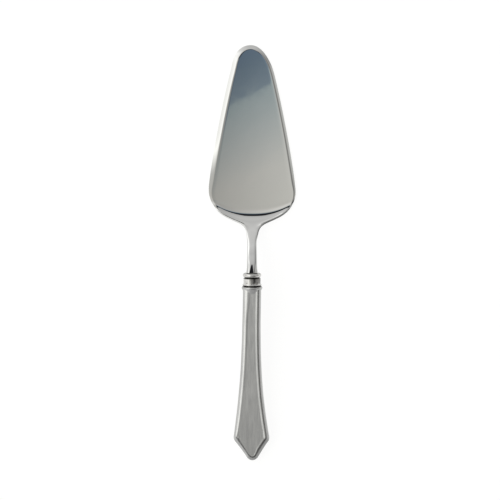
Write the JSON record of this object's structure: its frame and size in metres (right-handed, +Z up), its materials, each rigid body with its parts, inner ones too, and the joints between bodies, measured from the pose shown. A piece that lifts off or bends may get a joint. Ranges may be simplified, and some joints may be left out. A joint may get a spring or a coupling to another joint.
{
  "type": "cake server",
  "caption": "Cake server with a broad tapering polished steel blade, cranked shank, turned collar and a faceted pewter handle that flares to a shield-shaped end.",
  "frame": {"origin": "on the table that the server lies on, under the middle of its length and width", "axes": "+Y from the handle towards the tip of the blade, +Z up from the blade's flat face, +X to the right seen from above with the tip away"},
  "size_m": [0.0586, 0.28, 0.0228],
  "materials": {
    "polished_steel": "polished stainless steel with fine wipe marks",
    "pewter": "satin cast pewter, darkened in the grooves",
    "solder": "tin solder dressed flush",
    "cement": "filled resin cutlery cement"
  },
  "bodies": {
    "root": {"blade": "polished_steel", "collar": "pewter", "handle_front": "pewter", "handle_back": "pewter", "solder_seam": "solder", "handle_filler": "cement"}
  },
  "joints": []
}
